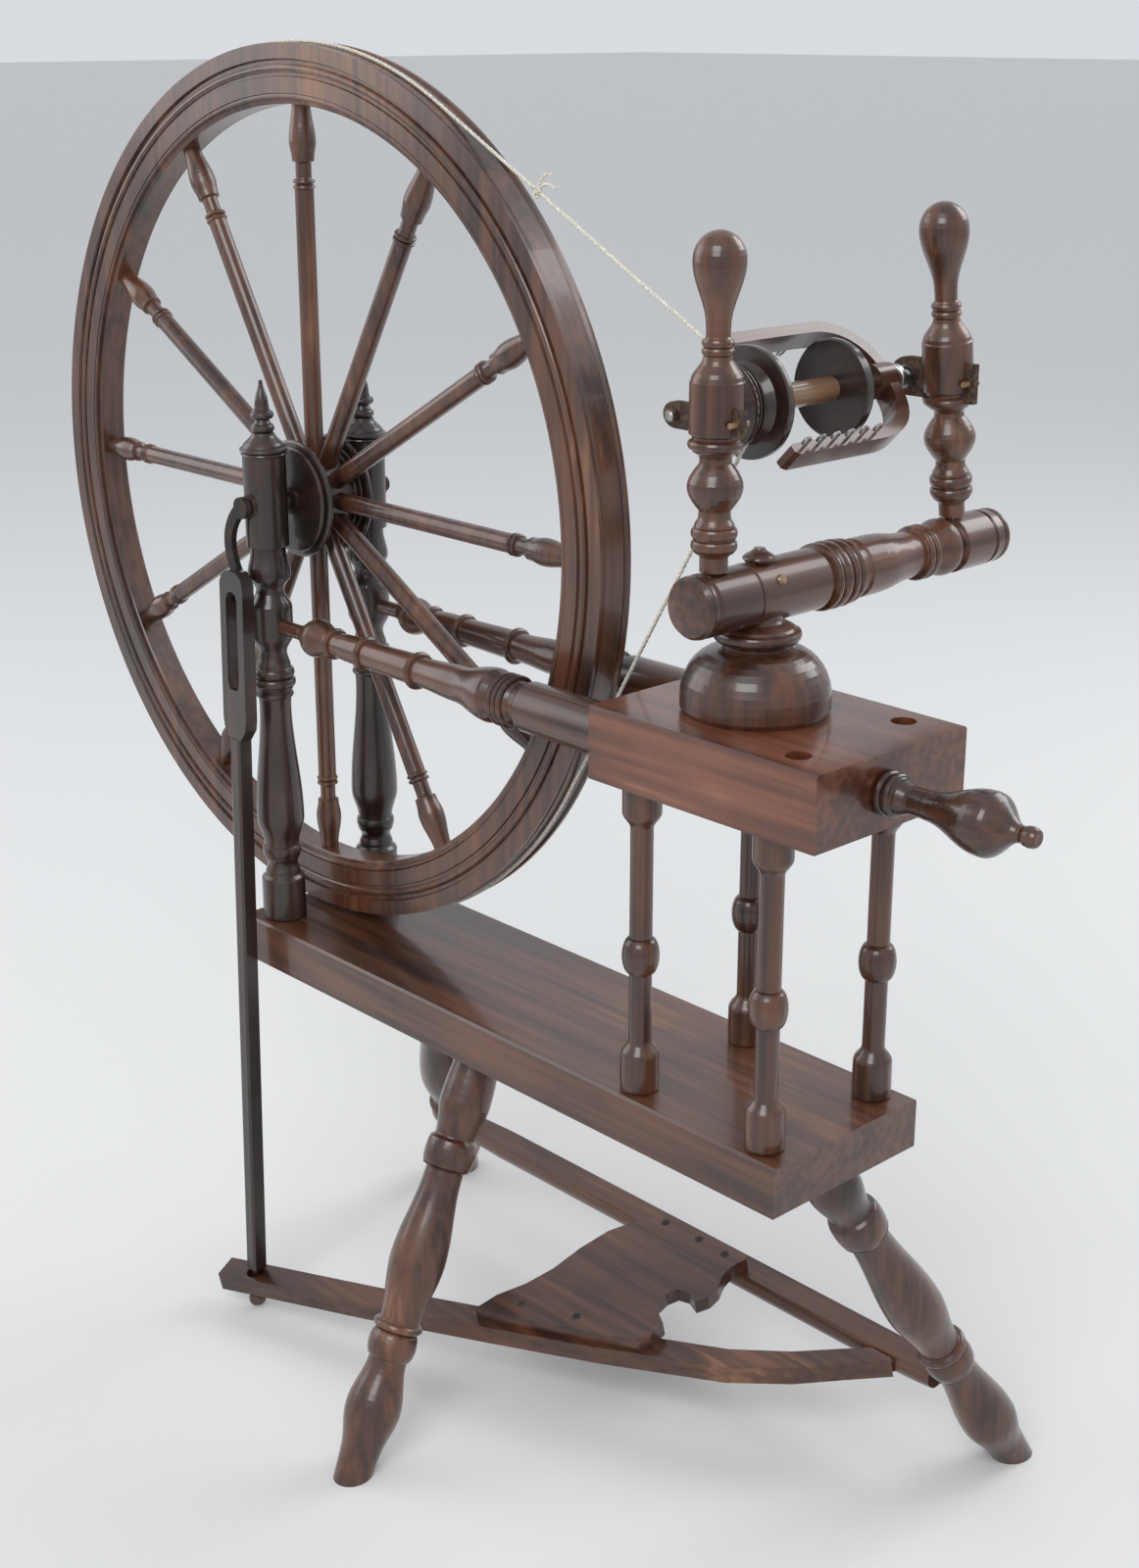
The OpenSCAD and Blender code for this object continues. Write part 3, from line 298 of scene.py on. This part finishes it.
class WHEEL_OT_band(bpy.types.Operator):
    """Makes the twisted drive band with its knot"""
    bl_idname = "wheel.band"
    bl_label = "Drive band"

    def execute(self, context):
        looks = context.scene.wheel_looks
        path = band_path(looks.cord_step)
        cotton = soft("cotton", (0.80, 0.77, 0.68), (0.50, 0.46, 0.38), 900.0)
        band = tube("band_cord", path, looks.cord_width / 2, 10, 2 * pi / 0.012, True)
        band.data.materials.append(cotton)
        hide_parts("drive_band")
        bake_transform(band)
        # A trefoil knot of cord with two short tails, on the upper run close to the wheel
        spot = path[-int(KNOT_PLACE / looks.cord_step)]
        t = np.linspace(0, 2 * pi, 90, endpoint=False)
        loop = [np.sin(t) + 2 * np.sin(2 * t), -np.sin(3 * t), np.cos(t) - 2 * np.cos(2 * t)]
        loop = np.stack(loop, 1)
        knot = tube("band_knot", spot + 0.00115 * loop, 0.001, 8, 500.0, True)
        tails = []
        for number, (dx, dz) in enumerate(((0.014, 0.010), (0.018, 0.002))):
            u = np.linspace(0, 1, 24)[:, None]
            sag = np.sin(pi * u) * np.array([0, -0.001, 0.003])
            tail = spot + u * np.array([dx, -0.002, dz]) + sag
            tails.append(tube(f"band_tail_{number + 1}", tail, 0.0009, 8, 500.0, False))
        for piece in (knot, *tails):
            piece.data.materials.append(cotton)
            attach(piece, "frame")
        return {"FINISHED"}


def camera():
    """The camera fitted to the photograph: place, turn, roll and lens."""
    yaw = radians(-47.25)
    pitch = radians(-18.39)
    roll = -0.016
    lean = radians(1.2)
    level = np.array([[cos(lean), 0, sin(lean)], [0, 1, 0], [-sin(lean), 0, cos(lean)]])
    forward = np.array([sin(yaw) * cos(pitch), cos(yaw) * cos(pitch), sin(pitch)])
    right = np.array([cos(yaw), -sin(yaw), 0])
    up = np.cross(right, forward)
    r = right * cos(roll) + up * sin(roll)
    u = -right * sin(roll) + up * cos(roll)
    place = level.T @ (np.array([4.118, -3.019, 0.968]) * 0.28) + AXLE
    data = bpy.data.cameras.new("camera")
    data.sensor_width = 36
    data.sensor_fit = "HORIZONTAL"
    data.lens = 36 * 2243.97 / 1162
    data.dof.use_dof = False
    obj = bpy.data.objects.new("camera", data)
    turn = Matrix((level.T @ r, level.T @ u, -(level.T @ forward))).transposed().to_4x4()
    obj.matrix_world = Matrix.Translation(Vector(place)) @ turn
    return obj


class WHEEL_OT_stage(bpy.types.Operator):
    """Makes the floor, the lights and the camera"""
    bl_idname = "wheel.stage"
    bl_label = "Stage"

    def execute(self, context):
        scene = context.scene
        mesh = bpy.data.meshes.new("floor")
        far = 40
        corners = [(-far, -far, 0), (far, -far, 0), (far, far, 0), (-far, far, 0)]
        mesh.from_pydata(corners, [], [(0, 1, 2, 3)])
        floor = bpy.data.objects.new("floor", mesh)
        mesh.materials.append(new_material("pale_floor", (0.72, 0.72, 0.71), 0.7)[0])
        scene.collection.objects.link(floor)
        target = Vector((0, 0, 0.45))
        for name, where, power, size in (
            ("key", (1.1, -1.9, 2.3), 1.0, 1.4),
            ("fill", (-2.2, -1.2, 1.5), 0.5, 1.8),
            ("rim", (0.6, 2.2, 2.0), 0.7, 1.4),
        ):
            light = bpy.data.lights.new(name, "AREA")
            light.energy = scene.wheel_looks.key_power * power
            light.size = size
            lamp = bpy.data.objects.new(name, light)
            lamp.location = where
            lamp.rotation_euler = (target - Vector(where)).to_track_quat("-Z", "Y").to_euler()
            scene.collection.objects.link(lamp)
        world = bpy.data.worlds.new("studio")
        scene.world = world
        world.use_nodes = True
        backdrop = world.node_tree.nodes["Background"]
        backdrop.inputs["Color"].default_value = (0.92, 0.95, 1.0, 1)
        backdrop.inputs["Strength"].default_value = 0.75
        view = camera()
        scene.collection.objects.link(view)
        scene.camera = view
        scene.render.resolution_x = 1162
        scene.render.resolution_y = 1600
        scene.view_settings.view_transform = "Standard"
        return {"FINISHED"}


class WHEEL_PT_panel(bpy.types.Panel):
    """The wheel's settings and its steps"""
    bl_idname = "WHEEL_PT_panel"
    bl_label = "Spinning wheel"
    bl_space_type = "VIEW_3D"
    bl_region_type = "UI"
    bl_category = "Wheel"

    def draw(self, context):
        for name in WheelSettings.__annotations__:
            self.layout.prop(context.scene.wheel_looks, name)
        for step in STEPS:
            self.layout.operator(step.bl_idname)


STEPS = (WHEEL_OT_surfaces, WHEEL_OT_band, WHEEL_OT_stage)


def register():
    for kind in (WheelSettings, *STEPS, WHEEL_PT_panel):
        bpy.utils.register_class(kind)
    bpy.types.Scene.wheel_looks = bpy.props.PointerProperty(type=WheelSettings)


def unregister():
    del bpy.types.Scene.wheel_looks
    for kind in (WHEEL_PT_panel, *reversed(STEPS), WheelSettings):
        bpy.utils.unregister_class(kind)


def main():
    register()
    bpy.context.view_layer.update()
    bpy.ops.wheel.surfaces()
    bpy.ops.wheel.band()
    bpy.ops.wheel.stage()


if __name__ == "__main__":
    main()
